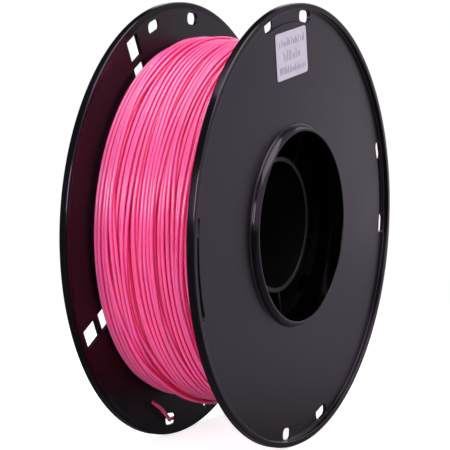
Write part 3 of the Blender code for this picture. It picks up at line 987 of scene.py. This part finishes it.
def black_plastic(name, black, roughness, inside=1.0, polish=1.0, specular=0.5, tint=0.84):
    """Black moulded polystyrene: nearly smooth, with a faint grain and slightly uneven gloss.

    Black is how much light its colour gives back, and inside the share of that left on the mouth's walls, as
    painted shade in the bore.
    Polish is the share of the roughness left on the collar and the rim. Specular and tint are the strength
    of its gloss and the green in it.
    """
    darker = (black * 0.9, black * 0.8, black)
    paler = (black * 1.2, black * 1.05, black * 1.3)
    material, tree, shader = new_material(name, (black, black, black), roughness)
    shader.inputs["IOR"].default_value = 1.5
    shader.inputs["Specular IOR Level"].default_value = specular
    shader.inputs["Specular Tint"].default_value = (1.0, tint, 1.0, 1.0)
    patches = noise(tree, 22.0, 3.0)
    distance = vector_length(tree, from_axis(tree, add_node(tree, "ShaderNodeTexCoord")))
    shade = add_node(tree, "ShaderNodeVectorMath", operation="SCALE")
    tree.links.new(mix_colours(tree, patches, darker, paler), shade.inputs[0])
    # Painted shade: the colour falls to the inside share on the walls of the mouth, deep in the bore.
    tree.links.new(ranged(tree, distance, inside, 1.0, *MOUTH_WALL), shade.inputs["Scale"])
    tree.links.new(shade.outputs["Vector"], shader.inputs["Base Color"])
    gloss = ranged(tree, patches, roughness * 0.9, roughness * 1.12)
    gloss = maths(tree, "MULTIPLY", gloss, ranged(tree, distance, polish, 1.0, *COLLAR_EDGE))
    gloss = maths(tree, "MULTIPLY", gloss, ranged(tree, distance, 1.0, polish, *RIM_EDGE))
    tree.links.new(gloss, shader.inputs["Roughness"])
    bump(tree, shader, noise(tree, 1400.0, 2.0), distance=0.02 * MM, strength=0.25)
    return material


def pink_filament():
    """Soft pink filament, smooth and a little translucent, with faint drawing marks, and with painted shade
    that makes its sides a deeper crimson.
    """
    material, tree, shader = new_material("pink_filament", (0.93, 0.15, 0.38), 0.18)
    shader.inputs["IOR"].default_value = 1.5
    shader.inputs["Specular IOR Level"].default_value = 0.85
    shader.inputs["Subsurface Weight"].default_value = 1.0
    shader.inputs["Subsurface Radius"].default_value = (1.0, 0.1, 0.2)
    shader.inputs["Subsurface Scale"].default_value = 1.4 * MM
    cloud = ranged(tree, noise(tree, 60.0, 2.0), 0.0, 1.0)
    tone = mix_colours(tree, cloud, (0.92, 0.145, 0.37), (0.945, 0.168, 0.405))
    # Painted shade: a strand's sides, which lie in the creases beside its neighbours, are painted a deeper
    # crimson.
    deep = add_node(tree, "ShaderNodeMix", data_type="RGBA")
    deep.inputs["A"].default_value = (0.98, 0.03, 0.215, 1.0)
    tree.links.new(tone, deep.inputs["B"])
    tree.links.new(ranged(tree, facing_out(tree), 0.0, 1.0, 0.2, 0.75), deep.inputs["Factor"])
    tree.links.new(deep.outputs["Result"], shader.inputs["Base Color"])
    bump(tree, shader, noise(tree, 900.0, 2.0), distance=0.03 * MM, strength=0.3)
    return material


def label_paper():
    material, tree, shader = new_material("label_paper", (0.62, 0.60, 0.66), 0.5)
    cloud = ranged(tree, noise(tree, 180.0, 4.0), 0.0, 1.0)
    tone = mix_colours(tree, cloud, (0.60, 0.575, 0.64), (0.65, 0.63, 0.69))
    tree.links.new(tone, shader.inputs["Base Color"])
    bump(tree, shader, noise(tree, 2500.0, 3.0), distance=0.02 * MM, strength=0.3)
    return material


def print_ink():
    material, tree, shader = new_material("print_ink", (0.10, 0.09, 0.12), 0.55)
    cloud = ranged(tree, noise(tree, 900.0, 2.0), 0.0, 1.0)
    tone = mix_colours(tree, cloud, (0.07, 0.065, 0.09), (0.17, 0.155, 0.20))
    tree.links.new(tone, shader.inputs["Base Color"])
    return material


def finish_piece(obj, material, node=None, shade=True):
    """Gives a piece its material and its body, and hides the part of model.glb that it stands for."""
    obj.data.materials.clear()
    obj.data.materials.append(material)
    if shade:
        smooth(obj)
    if node:
        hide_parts(node)
    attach(obj, "root")


# ---------------------------------------------------------------- studio


# Directions from the spool
BACKDROP_DIRECTION = (0.878, 0.466, -0.113)  # to the middle of the backdrop
PALE_DIRECTION = (-0.05, -0.93, 0.37)  # to the palest surroundings
LIT_DIRECTION = (0.88, -0.47, 0.0)  # to the side where reflections see the floor bright

FLOOR_REACH = 6.0  # from the middle to each side
LIGHT_COLOUR = (1.0, 0.93, 1.03)

CAMERA_AZIMUTH = math.radians(-62.04)
CAMERA_ELEVATION = math.radians(6.504)
CAMERA_DISTANCE = 0.99729
CAMERA_AIM = (-0.005282, -0.001259)  # how far the spool's middle is from the picture's, to the right and up
CAMERA_LENS = 174.54
CAMERA_SIGHT = 50.0  # how far it sees


def make_floor():
    """A wide pale floor that the spool stands on."""
    low = cad_box[0][2]
    corners = [(x * FLOOR_REACH, y * FLOOR_REACH, low) for x, y in ((-1, -1), (1, -1), (1, 1), (-1, 1))]
    mesh = bpy.data.meshes.new("floor")
    mesh.from_pydata(corners, [], [(0, 1, 2, 3)])
    floor = new_object("floor", mesh)
    floor.data.materials.append(floor_material())


def floor_material():
    """Seen directly, the floor fades to white, with the spool's soft shadow.

    Reflections see it as a dimmer glow with painted light and shadow: a painted shadow near the spool,
    brightest between 0.3 and 0.5 m away, and nearly black away from the lit side.
    """
    material, tree, shader = new_material("floor", (0.6, 0.6, 0.6), 0.9)
    shader.inputs["Specular IOR Level"].default_value = 0.0
    place = add_node(tree, "ShaderNodeTexCoord").outputs["Object"]
    distance = vector_length(tree, place)
    ray = add_node(tree, "ShaderNodeLightPath")

    far = ranged(tree, distance, 0.0, 1.0, 0.18, 0.45)
    paleness = mix_colours(tree, far, (0.85, 0.85, 0.85), (0.6, 0.6, 0.6))
    tree.links.new(paleness, shader.inputs["Base Color"])
    glow = add_node(tree, "ShaderNodeEmission", Strength=0.78)
    near = add_node(tree, "ShaderNodeAddShader")
    tree.links.new(shader.outputs[0], near.inputs[0])
    tree.links.new(glow.outputs[0], near.inputs[1])
    white = add_node(tree, "ShaderNodeEmission", Strength=1.0)
    direct = mix_shaders(tree, far, near, white)

    # Painted light and shadow, seen only in reflections: the floor glows dim near the spool, brighter further
    # out, and nearly black away from the lit side.
    painted_floor_light = add_node(tree, "ShaderNodeEmission", Color=(1.0, 0.90, 1.05, 1.0))
    strength = ranged(tree, distance, 0.22, 0.46, 0.1, 0.26)
    strength = maths(tree, "MULTIPLY", strength, ranged(tree, distance, 1.0, 0.68, 0.5, 2.5))
    sideways = ranged(tree, towards(tree, place, LIT_DIRECTION), 0.06, 1.0, -0.12, 0.1)
    tree.links.new(maths(tree, "MULTIPLY", strength, sideways), painted_floor_light.inputs["Strength"])
    indirect = mix_shaders(tree, ray.outputs["Is Glossy Ray"], shader, painted_floor_light)

    seen = mix_shaders(tree, ray.outputs["Is Camera Ray"], indirect, direct)
    tree.links.new(seen.outputs[0], tree.nodes["Material Output"].inputs["Surface"])
    return material


def make_world():
    """Surroundings that are pale in front of the spool and dark behind it, with a white backdrop.

    Seen directly, they are white all round. Reflections and transmission see white only at the backdrop.
    """
    world = bpy.data.worlds.new("studio")
    bpy.context.scene.world = world
    world.use_nodes = True
    tree = world.node_tree
    look = add_node(tree, "ShaderNodeTexCoord").outputs["Generated"]
    ray = add_node(tree, "ShaderNodeLightPath")
    soft = tree.nodes["Background"]
    share = ranged(tree, towards(tree, look, PALE_DIRECTION), 0.0, 1.0, 0.05, 0.95)
    tone = mix_colours(tree, share, (0.012, 0.011, 0.012), (0.83, 0.765, 0.855))
    tree.links.new(tone, soft.inputs["Color"])
    white = add_node(tree, "ShaderNodeBackground", Color=(1.0, 1.0, 1.0, 1.0))
    backdrop = ranged(tree, towards(tree, look, BACKDROP_DIRECTION), 0.0, 1.0, 0.84, 0.94)
    thrown = maths(tree, "MAXIMUM", ray.outputs["Is Glossy Ray"], ray.outputs["Is Transmission Ray"])
    seen = maths(tree, "MAXIMUM", ray.outputs["Is Camera Ray"], maths(tree, "MULTIPLY", thrown, backdrop))
    surroundings = mix_shaders(tree, seen, soft, white)
    tree.links.new(surroundings.outputs[0], tree.nodes["World Output"].inputs["Surface"])


def softbox(name, direction, distance, width, height, radiance, target=(0.0, 0.0, 0.0)):
    """An area light in that direction from its target, with its radiance instead of its power."""
    light = bpy.data.lights.new(name, "AREA")
    light.shape = "RECTANGLE"
    light.size = width
    light.size_y = height
    light.energy = radiance * math.pi * width * height
    light.color = LIGHT_COLOUR
    obj = bpy.data.objects.new(name, light)
    bpy.context.scene.collection.objects.link(obj)
    away = Vector(direction).normalized()
    obj.location = Vector(target) + away * distance
    obj.rotation_euler = (-away).to_track_quat("-Z", "Y").to_euler()


def make_lights():
    beside = (0.2, 0.36, 0.1)  # past the rear flange
    softbox("key", (-0.947, 0.083, 0.31), distance=1.3, width=0.85, height=0.49, radiance=6.6)
    softbox("fill", (-0.8, -0.45, 0.45), distance=1.4, width=1.3, height=1.1, radiance=0.2)
    softbox("top", (-0.04, -0.2, 0.98), distance=1.2, width=1.15, height=1.7, radiance=2.6)
    softbox("side", (0.894, -0.447, 0.15), distance=0.7, width=0.75, height=0.7, radiance=0.8, target=beside)


def make_camera():
    turn = CAMERA_AZIMUTH
    tilt = CAMERA_ELEVATION
    right = Vector((math.cos(turn), math.sin(turn), 0))
    forward = Vector((-math.sin(turn) * math.cos(tilt), math.cos(turn) * math.cos(tilt), -math.sin(tilt)))
    up = right.cross(forward)
    data = bpy.data.cameras.new("camera")
    data.lens = CAMERA_LENS
    data.clip_end = CAMERA_SIGHT
    camera = bpy.data.objects.new("camera", data)
    bpy.context.scene.collection.objects.link(camera)
    camera.location = right * CAMERA_AIM[0] + up * CAMERA_AIM[1] - forward * CAMERA_DISTANCE
    camera.rotation_euler = forward.to_track_quat("-Z", "Y").to_euler()
    bpy.context.scene.camera = camera


def main():
    make_camera()
    make_world()
    make_lights()
    make_floor()
    outer = black_plastic("black_plastic", 0.0045, 0.3, inside=0.1, polish=0.45)
    # Its face towards the winding gets a rougher copy of the black plastic, with painted shade: darker, and
    # with weaker gloss.
    rear = black_plastic("black_plastic_inside", 0.002, 0.4, inside=0.1, polish=0.35, specular=0.25)
    # Painted shade: the core, deep in the bore, gets a far darker copy of the black plastic.
    inner = black_plastic("black_plastic_core", 0.0005, 0.4, tint=1.0)
    pink = pink_filament()
    make_front_flange(outer)
    make_rear_flange(outer, rear)
    make_core(inner)
    make_bed(pink)
    make_filament(pink)
    make_label(label_paper(), print_ink())
    scene = bpy.context.scene
    scene.view_settings.view_transform = "Standard"
    # Light has to pass between the strands and back many times.
    scene.cycles.diffuse_bounces = 16
    scene.cycles.max_bounces = 24


main()
